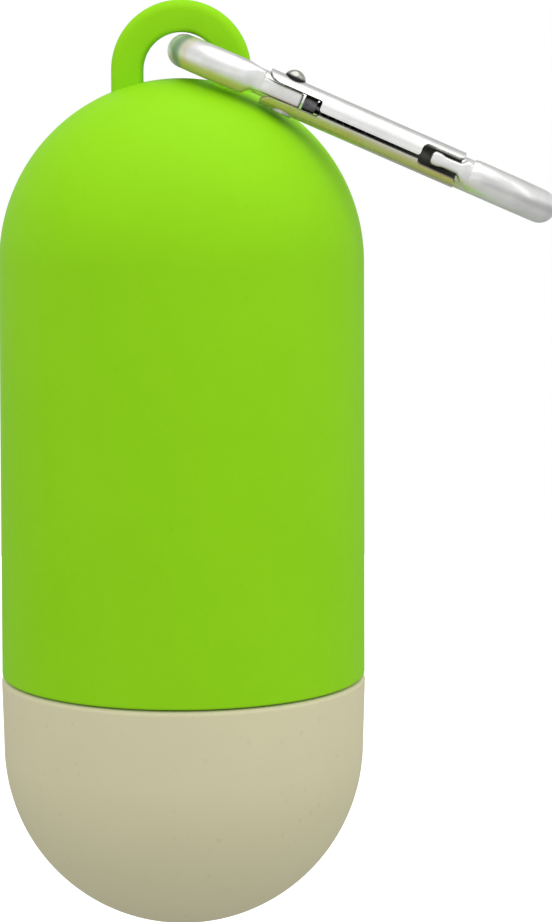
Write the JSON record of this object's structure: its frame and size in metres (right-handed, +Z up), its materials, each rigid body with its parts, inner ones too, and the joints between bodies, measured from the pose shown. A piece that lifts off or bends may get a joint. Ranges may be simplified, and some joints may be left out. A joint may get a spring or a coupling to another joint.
{
  "type": "dog waste bag dispenser",
  "caption": "Capsule that holds a roll of dog waste bags, with a ring tab, a screw-on bottom cap with a bag outlet, and a wire snap hook with a sprung gate.",
  "frame": {"origin": "centre of the tab's eye, midway through the tab", "axes": "+Z up along the capsule's axis, +Y along the eye's axis, +X towards the side on which the snap hook rests"},
  "size_m": [0.0611, 0.0404, 0.1017],
  "materials": {
    "green_plastic": "fine satin moulding grain",
    "beige_plastic": "matte with faint darker specks",
    "bag_film": "wound thin film",
    "core_card": "raw card",
    "zinc_wire": "zinc plated, bright",
    "zinc_sheet": "zinc plated, bright",
    "spring_steel": "drawn wire"
  },
  "bodies": {
    "shell": {"body_shell": "green_plastic"},
    "roll": {"bag_roll": "bag_film", "roll_core": "core_card"},
    "cap": {"bottom_cap": "beige_plastic"},
    "hook": {"carabiner_frame": "zinc_wire", "gate_rivet": "zinc_sheet"},
    "gate": {"gate_sleeve": "zinc_sheet", "gate_spring": "spring_steel"},
    "pusher": {"gate_plunger": "spring_steel"}
  },
  "joints": [
    {"name": "cap_drop", "type": "slide", "parent": "shell", "child": "roll", "axis": [0, 0, -1], "range_m": [0, 0.008]},
    {"name": "cap_twist", "type": "hinge", "parent": "roll", "child": "cap", "pos_m": [0, 0, -0.0669], "axis": [0, 0, -1], "range_deg": [0, 360]},
    {"name": "hook_swing", "type": "hinge", "parent": "shell", "child": "hook", "pos_m": [0.00034, 0, 0.0021], "axis": [0, -1, 0], "range_deg": [0, 222]},
    {"name": "gate_open", "type": "hinge", "parent": "hook", "child": "gate", "pos_m": [0.01158, -0.007, -0.00277], "axis": [0.3971, 0, 0.9178], "range_deg": [0, 28], "stiffness_Nm_per_rad": 0.004, "springref_deg": -28.65},
    {"name": "pusher_slide", "type": "slide", "parent": "gate", "child": "pusher", "axis": [0.9178, 0, -0.3971], "range_m": [0, 0.00064], "deforming": ["gate_spring"]}
  ],
  "couplings": [
    {"joint": "cap_twist", "follows": "cap_drop", "rad_per_m": 785.39},
    {"joint": "gate_open", "follows": "pusher_slide", "rad_per_m": 740}
  ]
}
